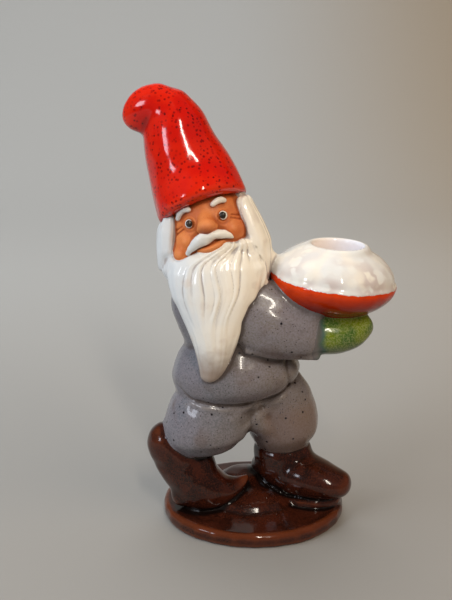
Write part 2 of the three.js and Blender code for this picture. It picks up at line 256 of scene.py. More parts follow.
between_eyes = (middle_of("right_eye") + middle_of("left_eye")) / 2
head_across = (middle_of("left_eye") - middle_of("right_eye")).normalized()
upright = (Vector((0, 0, 1)) - head_across * head_across.z).normalized()
level_front = head_across.cross(upright)
head_up = upright * math.cos(HEAD_TIP) - level_front * math.sin(HEAD_TIP)
head_front = level_front * math.cos(HEAD_TIP) + upright * math.sin(HEAD_TIP)


def on_face(across, out, up):
    """A point given in the head's own millimetres, from between the eyes."""
    return between_eyes + MM * (across * head_across + out * head_front + up * head_up)


class Face:
    """The lattice in the head's own millimetres: across, out of the face, and up from the eyes."""

    def __init__(self, clay):
        x = (clay.x - between_eyes.x) / MM
        y = (clay.y - between_eyes.y) / MM
        z = (clay.z - between_eyes.z) / MM
        self.across = x * head_across.x + y * head_across.y + z * head_across.z
        self.out = x * head_front.x + y * head_front.y + z * head_front.z
        self.up = x * head_up.x + y * head_up.y + z * head_up.z

    def ball(self, middle, radii):
        """Signed distance in metres, near enough, to an ellipsoid."""
        a = (self.across - middle[0]) / radii[0]
        o = (self.out - middle[1]) / radii[1]
        u = (self.up - middle[2]) / radii[2]
        return (np.sqrt(a * a + o * o + u * u) - 1) * min(radii) * MM

    def crease(self, points, width):
        """1 on a line of (across, up) points, fading to 0 over the width, on the front only."""
        gap = gap_to_line(self.across, self.up, points)
        return bell(gap, width) * (self.out > FACE_FRONT)


# ------------------------------------------------------------------ strands of hair


def slices_of(node):
    """For each height of a CAD node: the middle and the half size of its slice, along X and along Y."""
    low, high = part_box(node)
    clay = Clay(low, high, 1 * MM)
    solid = clay.node(node) < 0
    rows = []
    for k in np.flatnonzero(solid.any(axis=(0, 1))):
        row = [clay.z[0, 0, k]]
        for axis, coordinate in ((1, clay.x), (0, clay.y)):
            filled = coordinate.ravel()[solid[:, :, k].any(axis=axis)]
            row += [(filled[0] + filled[-1]) / 2, max((filled[-1] - filled[0]) / 2, 1.5 * MM)]
        rows.append(row)
    columns = np.array(rows).T
    reach = 4
    window = np.ones(2 * reach + 1) / (2 * reach + 1)
    padded = [np.pad(column, reach, mode="edge") for column in columns[1:]]
    return [columns[0]] + [np.convolve(column, window, mode="valid") for column in padded]


def strands(clay, node, count, depth, seed, backwards=False, patchy=False):
    """Relief of grooves that run down a lock of hair and gather at its tip: metres, out is positive.

    Strands are counted over a half turn around the lock. They are counted around a line at the back of
    the lock, or around one at its front where the lock is seen from behind.
    """
    levels, *columns = slices_of(node)
    rows = [np.interp(clay.z[0, 0], levels, column)[None, None, :] for column in columns]
    middle_x, half_x, middle_y, half_y = rows
    outward = 1 if backwards else -1
    from_pivot = outward * (clay.y - middle_y + outward * half_y) / (2 * half_y)
    turn = np.arctan2((clay.x - middle_x) / half_x, from_pivot) / (math.pi / 2)
    down = np.broadcast_to(clay.z / (10 * MM), turn.shape)
    # strands wander a little; fine ones lie on broad ones, and a cut runs along the broad ones
    turn = turn + 0.13 * noise_2d(turn * 2 + 9, down * 0.6, seed)
    broad = noise_2d(turn * count * 0.5 + 20, down * 0.33, seed + 1)
    fine = noise_2d(turn * count * 1.2 + 20, down * 0.5, seed + 2)
    cut = bell(broad - 0.5, 0.09)
    relief = 1.1 * (broad - 0.5) + 0.35 * (fine - 0.5) - 0.35 * cut
    patches = 1
    if patchy:
        lumps = noise_2d(turn * 4 + 20, down * 0.8, seed + 3)
        patches = 0.25 + 0.75 * smooth_step((lumps - 0.3) / 0.35)
    # shallower towards the tip, and smooth where hair at the back comes out from under the hat
    low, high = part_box(node)
    fade = 0.35 + 0.65 * smooth_step((clay.z - low.z) / (0.8 * (high.z - low.z)))
    if backwards:
        fade = fade * smooth_step((high.z - clay.z) / (6 * MM))
    return (depth * fade * patches * relief).astype(np.float32)


# ------------------------------------------------------------------ the clay of each node

socket_floor = next(m["pos_m"] for m in frame["record"]["mounts"] if m["name"] == "candle_socket_floor")
SOCKET_RADIUS = 11.3 * MM

# How far each node's facets are blurred away.
SOFTNESS = {
    "right_eye": 0.25 * MM, "left_eye": 0.25 * MM, "right_pupil": 0.2 * MM, "left_pupil": 0.2 * MM,
    "right_eyebrow": 0.4 * MM, "left_eyebrow": 0.4 * MM, "lower_lip": 0.5 * MM, "moustache": 0.8 * MM,
    "bowl": 1.3 * MM, "porridge_mound": 1.1 * MM, "plinth": 1 * MM, "left_sole": 1 * MM, "head": 1 * MM,
    "beard": 1 * MM, "right_hair_lock": 1 * MM, "left_hair_lock": 1 * MM, "back_hair": 1.2 * MM,
}
USUAL_SOFTNESS = 1.7 * MM
# How much fuller each node gets, to make up for that.
SWELL = {
    "right_eyebrow": 0.55 * MM, "left_eyebrow": 0.55 * MM, "moustache": 0.35 * MM, "lower_lip": 0.35 * MM,
    "right_pupil": 0.2 * MM, "left_pupil": 0.2 * MM, "right_eye": 0.05 * MM, "left_eye": 0.05 * MM,
    "left_hair_lock": 0.7 * MM, "bowl": 0.35 * MM,
}
USUAL_SWELL = 0.25 * MM


def melted(clay, node):
    """A CAD node's field with its facets melted away, a little fuller than the node."""
    softness = SOFTNESS.get(node, USUAL_SOFTNESS)
    return blurred(clay.node(node), softness, clay.spacing) - SWELL.get(node, USUAL_SWELL)


def clothes_relief(clay):
    """Hem roll, creases and folds of the coat and the trousers: metres, out is positive."""
    hem = [
        spot("coat", 0.05, 0.16),
        spot("coat", 0.18, 0.085),
        spot("coat", 0.34, 0.06),
        spot("coat", 0.50, 0.045),
        spot("coat", 0.65, 0.03),
        spot("coat", 0.76, 0.04),
        spot("coat", 0.85, 0.085),
        spot("coat", 0.90, 0.15),
    ]
    under_hem = [(x, z - 3.6 * MM) for x, z in hem[1:-2]]
    roll = [(x, z - 1.9 * MM) for x, z in hem[1:-1]]
    crotch = spot("right_trouser_leg", 0.93, 0.33)
    hip = spot("coat", 0.95, 0.12)
    near_leg_to_hip = [
        spot("right_trouser_leg", 0.82, 0.62),
        spot("right_trouser_leg", 0.97, 0.74),
        hip,
    ]
    crotch_to_hip = [
        crotch,
        spot("left_trouser_leg", 0.33, 0.52),
        spot("left_trouser_leg", 0.66, 0.86),
    ]
    fold_of_the_far_leg = [
        spot("right_trouser_leg", 0.88, 0.5),
        spot("left_trouser_leg", 0.3, 0.62),
        spot("left_trouser_leg", 0.6, 0.84),
    ]
    fold_below_the_hem = [
        spot("right_trouser_leg", 0.72, 0.72),
        spot("right_trouser_leg", 0.97, 0.87),
    ]
    side_crease = [spot("coat", 0.865, 0.32), spot("coat", 0.885, 0.22), spot("coat", 0.895, 0.12)]
    front = front_of(clay, 0, 10 * MM)
    relief = 0.35 * MM * clay.noise(13 * MM, 71) + 0.12 * MM * clay.noise(5 * MM, 72)
    relief = relief + 0.5 * MM * front * stroke(clay, roll, 2 * MM)
    relief = relief - 0.45 * MM * front * stroke(clay, hem, 1.2 * MM)
    relief = relief - 0.5 * MM * front * stroke(clay, under_hem, 2.4 * MM)
    for valley in (near_leg_to_hip, crotch_to_hip):
        relief = relief - 0.3 * MM * front * stroke(clay, valley, 2.2 * MM)
    for ridge in (fold_of_the_far_leg, fold_below_the_hem):
        relief = relief + 0.5 * MM * front * stroke(clay, ridge, 2 * MM)
    return relief - 0.7 * MM * front * stroke(clay, side_crease, 1.2 * MM)


def sleeve_clay(clay):
    """The sleeve, with the fold of its lower edge and with the clay that fills up under the bowl."""
    fold = rod(
        clay,
        inside_box("right_sleeve", 0.36, 0.25, 0.16),
        inside_box("right_sleeve", 0.98, 0.34, 0.06),
        (0.7 * MM, 1.3 * MM),
    )
    under_bowl = rod(
        clay,
        inside_box("right_sleeve", 0.45, 0.64, 0.87),
        inside_box("right_sleeve", 0.92, 0.52, 0.63),
        (6.8 * MM, 6.4 * MM),
    )
    field = melt_together(melted(clay, "right_sleeve"), fold, 2.5 * MM)
    return melt_together(field, under_bowl, 4 * MM)


def head_clay(clay):
    """Nose, right jowl, eye hollows, lids, pouches, crow's feet and mouth line on the head."""
    face = Face(clay)
    nose_tip = face.ball((-0.2, 2.0, -3.5), (3.8, 3.6, 3.1))
    behind_the_mouth = face.ball((0.2, -1.7, -10.9), (6, 1.9, 1.7))
    right_jowl = face.ball((-14.8, -5.2, -12.2), (3.4, 3.4, 3.6))
    field = melted(clay, "head")
    field = melt_together(field, nose_tip, 1.2 * MM)
    field = melt_together(field, behind_the_mouth, 1 * MM)
    field = melt_together(field, right_jowl, 3 * MM)
    front = face.out > EYES_FRONT
    for side in (-1, 1):
        nose_wing = face.ball((side * 2.9 - 0.2, 1.1, -4.2), (1.7, 1.7, 1.5))
        field = melt_together(field, nose_wing, 0.9 * MM)
        from_eye = np.hypot(face.across - side * EYE_ACROSS, face.up)
        hollow = front * bell(from_eye, 4)
        lid = front * bell(from_eye - 2.7, 0.45)
        pouch = front * bell(from_eye - 4.4, 0.6) * smooth_step(0.5 - face.up / 3)
        field = field + 0.28 * MM * hollow - 0.25 * MM * lid - 0.12 * MM * pouch
        for foot in CROWS_FEET:
            line = [(side * across, up) for across, up in foot]
            field = field + 0.6 * MM * face.crease(line, 0.34)
    return field + 0.5 * MM * face.crease(MOUTH_LINE, 0.5)


def moustache_clay(clay):
    """Two uneven lobes, the right one fuller, with a dent between them under the nose."""
    face = Face(clay)
    right_lobe = face.ball((-3.0, 0.4, -9.1), (3.6, 1.8, 1.9))
    field = melt_together(melted(clay, "moustache"), right_lobe, 1.2 * MM)
    dent = bell(face.across + 0.6, 1.1) * smooth_step((face.up + 8.5) / 3)
    return field + 0.5 * MM * dent - 0.15 * MM * clay.noise(2 * MM, 62)


def beard_clay(clay):
    """The beard in strands, with its round tip and the hair that grows up beside the cheeks."""
    tip = [
        (inside_box("beard", 0.41, 0.25, 0.22), 3.4 * MM),
        (inside_box("beard", 0.405, 0.21, 0.06), 2.6 * MM),
    ]
    behind_right_cheek = [
        (inside_box("beard", 0.05, 0.83, 0.97), 2.2 * MM),
        (inside_box("beard", 0.06, 0.74, 0.86), 3.0 * MM),
    ]
    down_to_the_right_lock = [
        (inside_box("beard", 0.02, 0.83, 0.89), 2.0 * MM),
        (inside_box("beard", 0.01, 0.80, 0.80), 2.8 * MM),
        (inside_box("beard", 0.11, 0.53, 0.63), 2.0 * MM),
    ]
    under_lip_and_left_cheek = [
        (on_face(-5, -2.4, -15.2), 1.5 * MM),
        (on_face(1, -2.0, -15.4), 1.7 * MM),
        (on_face(5.6, -3.2, -12.9), 1.7 * MM),
        (on_face(12.4, -5.3, -14.1), 1.7 * MM),
        (on_face(15.6, -7.3, -14.6), 2.6 * MM),
        (on_face(17, -7.6, -21), 2.7 * MM),
    ]
    lowest_left_strand = [
        (inside_box("beard", 0.96, 0.59, 0.83), 2.6 * MM),
        (inside_box("beard", 1.02, 0.63, 0.69), 1.9 * MM),
    ]
    field = melted(clay, "beard")
    for roll in (
        tip,
        behind_right_cheek,
        down_to_the_right_lock,
        under_lip_and_left_cheek,
        lowest_left_strand,
    ):
        for (start, start_radius), (end, end_radius) in zip(roll, roll[1:]):
            piece = rod(clay, start, end, (start_radius, end_radius))
            field = melt_together(field, piece, 3 * MM)
    return field - strands(clay, "beard", 24, 0.8 * MM, 11, patchy=True)


def right_lock_clay(clay):
    """The hair on the right, filled up to the edge of the face."""
    filling = rod(
        clay,
        inside_box("right_hair_lock", 0.74, 0.22, 0.93),
        inside_box("right_hair_lock", 0.78, 0.09, 0.42),
        (2.2 * MM, 2.6 * MM),
    )
    field = melt_together(melted(clay, "right_hair_lock"), filling, 3 * MM)
    return field - strands(clay, "right_hair_lock", 5, 0.7 * MM, 31)


def back_hair_clay(clay):
    """The hair at the back, with the thinner hair that covers the head up to the hat and to the locks."""
    low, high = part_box("back_hair")
    front_edge = -6 * MM
    top_edge = high.z + 2.6 * MM
    cap = Face(clay).ball(HEAD_MIDDLE, (20.8, 20.2, 22.6))
    cap = np.maximum(cap, front_edge - clay.y)
    cap = np.maximum(cap, clay.z - top_edge)
    field = melt_together(melted(clay, "back_hair"), cap, 3.5 * MM)
    return field - strands(clay, "back_hair", 22, 0.9 * MM, 51, backwards=True)


def left_lock_clay(clay):
    """The hair on the left, with the bridge of glaze that joins it to the porridge."""
    bridge = rod(
        clay,
        inside_box("left_hair_lock", 0.71, 0.47, 0.33),
        inside_box("left_hair_lock", 1.03, 0.52, 0.28),
        (4.2 * MM, 3.4 * MM),
    )
    field = melt_together(melted(clay, "left_hair_lock"), bridge, 3 * MM)
    return field - strands(clay, "left_hair_lock", 7, 0.9 * MM, 41)


def far_leg_clay(clay):
    """The far leg of the breeches, with the cloth that hangs between the legs."""
    across = rod(
        clay,
        inside_box("right_trouser_leg", 0.853, 0.45, 0.55),
        inside_box("right_trouser_leg", 1.05, 0.49, 0.41),
        (4.6 * MM, 4.6 * MM),
    )
    down = rod(
        clay,
        inside_box("right_trouser_leg", 0.92, 0.41, 0.79),
        inside_box("right_trouser_leg", 1.01, 0.43, 0.52),
        (4 * MM, 4 * MM),
    )
    field = melt_together(melted(clay, "left_trouser_leg"), across, 4 * MM)
    return melt_together(field, down, 4 * MM)


def near_boot_clay(clay):
    """The near boot, with the heavy ball of its foot."""
    ball_of_the_foot = rod(
        clay,
        inside_box("right_boot", 0.33, 0.34, 0.14),
        inside_box("right_boot", 0.51, 0.32, 0.12),
        (4.4 * MM, 4.6 * MM),
    )
    return melt_together(melted(clay, "right_boot"), ball_of_the_foot, 4 * MM)


def plinth_clay(clay):
    """The plinth, with its low hill running out softly where the two boots meet, cut off at the floor."""
    hill = ball_field(clay, inside_box("plinth", 0.48, 0.44, 0.25), (19 * MM, 13 * MM, 8 * MM))
    field = melt_together(melted(clay, "plinth"), hill, 8 * MM)
    return np.maximum(field, -clay.z)


def mound_clay(clay):
    """Porridge: soft lumps, the bridge to the hair, and a level lip around a recess for the candle."""
    lumps = 0.4 * MM * clay.noise(8 * MM, 81) + 0.15 * MM * clay.noise(4 * MM, 82)
    low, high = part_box("porridge_mound")
    below_lip = smooth_step((high.z - 4 * MM - clay.z) / (3 * MM))
    field = melted(clay, "porridge_mound") - lumps * below_lip
    bridge = rod(
        clay,
        inside_box("porridge_mound", 0.2, 0.48, 0.62),
        inside_box("porridge_mound", 0.0, 0.48, 0.69),
        (4 * MM, 3.4 * MM),
    )
    field = melt_together(field, bridge, 3.5 * MM)
    from_axis = np.hypot(clay.x - socket_floor[0], clay.y - socket_floor[1])
    lip = np.hypot(from_axis - SOCKET_RADIUS - 1.4 * MM, clay.z - high.z + 2.8 * MM) - 1.5 * MM
    field = melt_together(field, lip, 3 * MM)
    bore = np.maximum(from_axis - SOCKET_RADIUS, socket_floor[2] - clay.z)
    return -melt_together(-field, bore, 1.5 * MM)


def base_relief(clay):
    """Unevenness of the thick brown glaze, and the line where the near boot's shaft meets its foot."""
    ankle = [
        spot("right_boot", 0.10, 0.55),
        spot("right_boot", 0.32, 0.52),
        spot("right_boot", 0.5, 0.62),
    ]
    front = front_of(clay, -6 * MM, 6 * MM)
    relief = 0.2 * MM * clay.noise(11 * MM, 73) + 0.07 * MM * clay.noise(5 * MM, 74)
    return relief - 0.4 * MM * front * stroke(clay, ankle, 2.4 * MM)


def even_relief(clay):
    """The gentle unevenness of a surface smoothed by hand."""
    return 0.25 * MM * clay.noise(15 * MM, 75) + 0.06 * MM * clay.noise(6 * MM, 76)


WORKED = {
    "plinth": plinth_clay,
    "right_boot": near_boot_clay,
    "right_sleeve": sleeve_clay,
    "head": head_clay,
    "moustache": moustache_clay,
    "porridge_mound": mound_clay,
    "beard": beard_clay,
    "right_hair_lock": right_lock_clay,
    "left_trouser_leg": far_leg_clay,
    "left_hair_lock": left_lock_clay,
    "back_hair": back_hair_clay,
}
RELIEF = {"grey_glaze": clothes_relief, "brown_glaze": base_relief}
RELIEF.update({slot: even_relief for slot in ("red_glaze", "orange_glaze", "green_glaze")})


def shaped(clay, node):
    """A node's field with the detail that is worked into it."""
    field = WORKED[node](clay) if node in WORKED else melted(clay, node)
    relief = RELIEF.get(node_slot[node])
    if relief:
        field = field - relief(clay)
    return field.astype(np.float32)


# ------------------------------------------------------------------ from clay to a visible piece

node_slot = {entry["node"]: entry["material_slot"] for entry in frame["record"]["subparts"]}

# Every node in the order in which it is laid on the others, with the spacing of its lattice and the
# fillet with which it runs into what lies under it. Where two glazes meet, the later one is on top.
LAYERS = [
    ("plinth", 0.6 * MM, 2 * MM),
    ("left_sole", 0.6 * MM, 1.5 * MM),
    ("left_boot", 0.6 * MM, 2 * MM),
    ("right_boot", 0.6 * MM, 1.6 * MM),
    ("coat", 0.6 * MM, 0.8 * MM),
    ("left_trouser_leg", 0.6 * MM, 2.2 * MM),
    ("right_trouser_leg", 0.6 * MM, 2.2 * MM),
    ("left_sleeve", 0.6 * MM, 2 * MM),
    ("right_sleeve", 0.6 * MM, 2 * MM),
    ("left_mitten", 0.5 * MM, 3 * MM),
    ("right_mitten", 0.5 * MM, 3 * MM),
    ("bowl", 0.5 * MM, 3 * MM),
    ("porridge_mound", 0.5 * MM, 2 * MM),
    ("head", 0.35 * MM, 0.6 * MM),
    ("lower_lip", 0.2 * MM, 0.4 * MM),
    ("back_hair", 0.5 * MM, 0.8 * MM),
    ("right_hair_lock", 0.4 * MM, 0.8 * MM),
    ("left_hair_lock", 0.4 * MM, 0.8 * MM),
    ("beard", 0.4 * MM, 0.9 * MM),
    ("moustache", 0.25 * MM, 0.4 * MM),
    ("hat", 0.6 * MM, 0.4 * MM),
    ("right_eye", 0.2 * MM, 0.15 * MM),
    ("left_eye", 0.2 * MM, 0.15 * MM),
    ("right_pupil", 0.2 * MM, 0.15 * MM),
    ("left_pupil", 0.2 * MM, 0.15 * MM),
    ("right_eyebrow", 0.2 * MM, 0.3 * MM),
    ("left_eyebrow", 0.2 * MM, 0.3 * MM),
]
# How far a glaze runs past the border of its node, over the glaze beside it.
OVERRUN = {("porridge_mound", "bowl"): 0.9 * MM, ("right_mitten", "right_sleeve"): 1.4 * MM}
# How far a glaze lies below the one that is laid over its edge.
EDGE_STEP = 0.12 * MM
# The size of the hollows and ridges that a glaze shows, and the depth at which they show fully.
RIDGE_RADIUS = 1.2 * MM
RIDGE_RANGE = 0.5 * MM

blocks = {}
for node, spacing, _ in LAYERS:
    low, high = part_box(node)
    clay = Clay(low, high, spacing)
    blocks[node] = (clay, shaped(clay, node))


def moved_onto(target, source, field):
    """A field read on another lattice; past its own lattice it keeps the value of the edge."""
    for axis in range(3):
        steps = target.first[axis] + np.arange(target.size[axis])
        places = steps * target.spacing / source.spacing - source.first[axis]
        places = np.clip(places, 0, source.size[axis] - 1.001)
        low = places.astype(int)
        part = (places - low).astype(np.float32)
        part = part.reshape([-1 if i == axis else 1 for i in range(3)])
        field = np.take(field, low, axis) * (1 - part) + np.take(field, low + 1, axis) * part
    return field


def near(a, b, reach=3 * MM):
    """Whether the boxes of two nodes come within the reach of each other."""
    low_a, high_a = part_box(a)
    low_b, high_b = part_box(b)
    return all(low_a[i] - reach < high_b[i] and low_b[i] - reach < high_a[i] for i in range(3))


def make_piece(node):
    """The visible piece of a node: its part of the surface that it forms with its neighbours."""
    clay, own = blocks[node]
    spacing = clay.spacing
    whole = None
    border = np.full_like(own, -clay.band)
    sunk = np.zeros_like(own)
    passed_own = False
    for name, _, fillet in LAYERS:
        if name != node and not near(name, node):
            continue
        field = own if name == node else moved_onto(clay, *blocks[name])
        whole = field if whole is None else melt_together(whole, field, fillet)
        if name == node:
            passed_own = True
            continue
        gap = (own - field) / 2 - OVERRUN.get((node, name), 0) + OVERRUN.get((name, node), 0)
        if node_slot[name] == node_slot[node]:
            # pieces of one glaze overlap a little, so that no seam shows
            border = np.maximum(border, gap - 0.8 * spacing)
        elif passed_own:
            # a piece sinks and runs on a little under the glaze that lies on its edge
            border = np.maximum(border, gap - 2 * spacing)
            sunk = np.maximum(sunk, smooth_step(gap / spacing + 1.5))
        else:
            border = np.maximum(border, gap)
    border = blurred(border, 2.2 * spacing, spacing)
    points, quads = clay.surface(np.maximum(whole + EDGE_STEP * sunk, border))
    material = porridge if node == "porridge_mound" else glazes[node_slot[node]]
    piece = mesh_object("glazed_" + node, points, quads, material)
    hollows = blurred(whole, RIDGE_RADIUS, spacing) - whole
    add_ridge(piece, clay.sample(hollows, points))
    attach(piece, "root")
    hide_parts(node)


def add_ridge(piece, rise):
    """Stores for the materials where the surface is a hollow, even or a ridge."""
    ridge = np.clip(0.5 + rise / RIDGE_RANGE, 0, 1)
    attribute = piece.data.attributes.new("ridge", "FLOAT", "POINT")
    attribute.data.foreach_set("value", ridge.astype(np.float32))


def mesh_object(name, points, quads, material):
    """A smooth-shaded object of quads."""
    mesh = bpy.data.meshes.new(name)
    mesh.vertices.add(len(points))
    mesh.vertices.foreach_set("co", points.ravel())
    mesh.loops.add(len(quads) * 4)
    mesh.loops.foreach_set("vertex_index", quads.astype(np.int32).ravel())
    mesh.polygons.add(len(quads))
    mesh.polygons.foreach_set("loop_start", np.arange(0, len(quads) * 4, 4, dtype=np.int32))
    mesh.polygons.foreach_set("use_smooth", np.ones(len(quads), bool))
    mesh.update(calc_edges=True)
    mesh.materials.append(material)
    piece = bpy.data.objects.new(name, mesh)
    bpy.context.scene.collection.objects.link(piece)
    return piece


# ------------------------------------------------------------------ materials


def colour(red, green, blue):
    """A screen colour, 0 to 255, as the linear colour that Blender mixes."""
    linear = []
    for level in (red, green, blue):
        if level > 10:
            linear.append(((level / 255 + 0.055) / 1.055) ** 2.4)
        else:
            linear.append(level / 255 / 12.92)
    return linear + [1]


class Recipe:
    """A material, and short ways to make its nodes. Places are object coordinates, in metres."""

    def __init__(self, name, roughness, coat):
        self.material = bpy.data.materials.new(name)
        self.material.use_nodes = True
        self.nodes = self.material.node_tree.nodes
        self.links = self.material.node_tree.links
        self.shader = self.nodes["Principled BSDF"]
        self.shader.inputs["Roughness"].default_value = roughness
        self.shader.inputs["Coat Weight"].default_value = coat
        self.shader.inputs["Coat Roughness"].default_value = 0.03
        self.shader.inputs["Specular IOR Level"].default_value = 0.3
        self.place = self.nodes.new("ShaderNodeTexCoord").outputs["Object"]
        self.ground = None

    def put(self, value, socket):
        """Links a socket, or sets a value."""
        if isinstance(value, bpy.types.NodeSocket):
            self.links.new(value, socket)
        else:
            socket.default_value = value

    def ridge(self):
        """0 in hollows, a half on even ground, 1 on ridges."""
        node = self.nodes.new("ShaderNodeAttribute")
        node.attribute_name = "ridge"
        return node.outputs["Fac"]

    def noise(self, cell, detail=2, distortion=0.0):
        """Noise with lumps about a cell wide."""
        node = self.nodes.new("ShaderNodeTexNoise")
        self.links.new(self.place, node.inputs["Vector"])
        node.inputs["Scale"].default_value = 1 / cell
        node.inputs["Detail"].default_value = detail
        node.inputs["Distortion"].default_value = distortion
        return node.outputs["Fac"]

    def span(self, value, low, high, start=0.0, end=1.0):
        """The value's range from low to high, stretched to start and end."""
        node = self.nodes.new("ShaderNodeMapRange")
        node.interpolation_type = "SMOOTHSTEP"
        self.put(value, node.inputs["Value"])
        for key, number in (("From Min", low), ("From Max", high), ("To Min", start), ("To Max", end)):
            node.inputs[key].default_value = number
        return node.outputs["Result"]

    def maths(self, operation, a, b=0.5):
        """One step of arithmetic; a square root ignores b."""
        node = self.nodes.new("ShaderNodeMath")
        node.operation = operation
        self.put(a, node.inputs[0])
        self.put(b, node.inputs[1])
        return node.outputs["Value"]

    def mix(self, share, a, b):
        """Colour a where the share is 0, colour b where it is 1."""
        node = self.nodes.new("ShaderNodeMix")
        node.data_type = "RGBA"
        colour_a, colour_b = node.inputs[6:8]
        self.put(share, node.inputs["Factor"])
        self.put(a, colour_a)
        self.put(b, colour_b)
        return node.outputs[2]

    def start(self, share, a, b):
        """The ground colour: between a and b."""
        self.ground = self.mix(share, a, b)

    def layer(self, share, paint):
        """Lays a colour over the ground where the share is 1."""
        self.ground = self.mix(share, self.ground, paint)

    def specks(self, cell, radius, share):
        """1 inside round specks: a share of the cells holds one."""
        node = self.nodes.new("ShaderNodeTexVoronoi")
        self.links.new(self.place, node.inputs["Vector"])
        node.inputs["Scale"].default_value = 1 / cell
        round_spot = self.span(node.outputs["Distance"], radius / cell, 0.5 * radius / cell)
        split = self.nodes.new("ShaderNodeSeparateColor")
        self.links.new(node.outputs["Color"], split.inputs["Color"])
        chosen = self.span(split.outputs["Red"], share + 0.02, share - 0.02)
        return self.maths("MULTIPLY", round_spot, chosen)

    def height(self, axis="Z"):
        """The place along an axis."""
        split = self.nodes.new("ShaderNodeSeparateXYZ")
        self.links.new(self.place, split.inputs["Vector"])
        return split.outputs[axis]

    def from_axis(self, x, y):
        """Distance from an upright axis."""
        across = self.maths("SUBTRACT", self.height("X"), x)
        deep = self.maths("SUBTRACT", self.height("Y"), y)
        across_squared = self.maths("MULTIPLY", across, across)
        deep_squared = self.maths("MULTIPLY", deep, deep)
        return self.maths("SQRT", self.maths("ADD", across_squared, deep_squared))

    def from_point(self, point):
        """Distance from a point."""
        node = self.nodes.new("ShaderNodeVectorMath")
        node.operation = "DISTANCE"
        self.links.new(self.place, node.inputs[0])
        node.inputs[1].default_value = point
        return node.outputs["Value"]

    def bump(self, height, distance, strength=1.0):
        """Fine relief that is too small for the mesh."""
        node = self.nodes.new("ShaderNodeBump")
        node.inputs["Strength"].default_value = strength
        node.inputs["Distance"].default_value = distance
        self.links.new(height, node.inputs["Height"])
        self.links.new(node.outputs["Normal"], self.shader.inputs["Normal"])

    def finish(self, roughness=None):
        """Gives the ground colour to the shader, and returns the material."""
        self.put(self.ground, self.shader.inputs["Base Color"])
        if roughness is not None:
            self.put(roughness, self.shader.inputs["Roughness"])
        return self.material


def red_glaze():
    mix = Recipe("red_glaze", 0.12, 0.35)
    mix.start(mix.span(mix.noise(12 * MM), 0.35, 0.65), colour(194, 14, 0), colour(206, 27, 2))
    # dark where it pools, light where it runs thin
    mix.layer(mix.span(mix.ridge(), 0.45, 0.2), colour(150, 12, 4))
    mix.layer(mix.span(mix.ridge(), 0.62, 0.95, 0, 0.4), colour(220, 56, 14))
    # fine specks in clusters, and larger ones between them
    clusters = mix.span(mix.noise(9 * MM), 0.38, 0.6, 0.4, 1)
    fine = mix.maths("MULTIPLY", mix.specks(1.7 * MM, 0.75 * MM, 0.7), clusters)
    mix.layer(fine, colour(124, 5, 2))
    mix.layer(mix.specks(2.9 * MM, 0.6 * MM, 0.55), colour(92, 6, 4))
    mix.bump(mix.noise(6 * MM), 0.12 * MM)
    return mix.finish()


def grey_glaze():
    low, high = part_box("coat")
    mix = Recipe("grey_glaze", 0.25, 0.3)
    # bluish on the right-hand side of the gnome, brownish towards the bowl
    uneven = mix.maths("ADD", mix.height("X"), mix.span(mix.noise(18 * MM), 0, 1, 0, 24 * MM))
    mix.start(mix.span(uneven, low.x, high.x), colour(89, 95, 105), colour(115, 105, 99))
    # clouds and a fine grain
    mix.layer(mix.span(mix.noise(20 * MM, 3), 0.4, 0.65, 0, 0.6), colour(112, 104, 108))
    grain = mix.span(mix.noise(0.8 * MM, 2), 0.35, 0.65)
    mix.layer(mix.maths("MULTIPLY", grain, 0.5), colour(134, 128, 134))
    # brown where the glaze pools, and painted shade in the folds; pale where it runs thin
    mix.layer(mix.span(mix.ridge(), 0.42, 0.06, 0, 0.75), colour(74, 61, 55))
    mix.layer(mix.span(mix.ridge(), 0.62, 0.95, 0, 0.45), colour(138, 128, 122))
    # brown patches, and the browner far leg
    mix.layer(mix.span(mix.noise(14 * MM, 2), 0.55, 0.7, 0, 0.4), colour(96, 77, 66))
    beside = mix.span(mix.height("X"), 0, 8 * MM)
    below = mix.span(mix.height(), low.z + 4 * MM, low.z - 8 * MM, 0, 0.5)
    mix.layer(mix.maths("MULTIPLY", beside, below), colour(108, 80, 62))
    # small and large specks
    mix.layer(mix.specks(1.3 * MM, 0.34 * MM, 0.5), colour(78, 68, 70))
    mix.layer(mix.specks(4.4 * MM, 0.75 * MM, 0.6), colour(30, 24, 28))
    mix.bump(mix.noise(2.2 * MM), 0.08 * MM)
    return mix.finish()


def white_glaze():
    low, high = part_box("beard")
    mix = Recipe("white_glaze", 0.18, 0.5)
    # cool white to cream, from the beard's right to its left
    broad = mix.span(mix.noise(14 * MM, 2), 0.35, 0.65)
    uneven = mix.maths("ADD", mix.height("X"), mix.maths("MULTIPLY", broad, 8 * MM))
    mix.start(mix.span(uneven, low.x, high.x), colour(208, 210, 212), colour(236, 225, 207))
    # mauve-grey in the grooves, a painted shade, with thin patches here and there
    mix.layer(mix.span(mix.ridge(), 0.45, 0.08, 0, 0.8), colour(158, 147, 144))
    mix.layer(mix.span(mix.noise(7 * MM, 2), 0.56, 0.72, 0, 0.3), colour(198, 178, 166))
    # the thin glaze of the beard's tip
    level = mix.maths("ADD", mix.height(), mix.span(mix.noise(4 * MM), 0, 1, 0, 6 * MM))
    mix.layer(mix.span(level, low.z + 24 * MM, low.z + 8 * MM, 0, 0.9), colour(148, 130, 118))
    mix.bump(mix.noise(4 * MM), 0.06 * MM)
    return mix.finish()


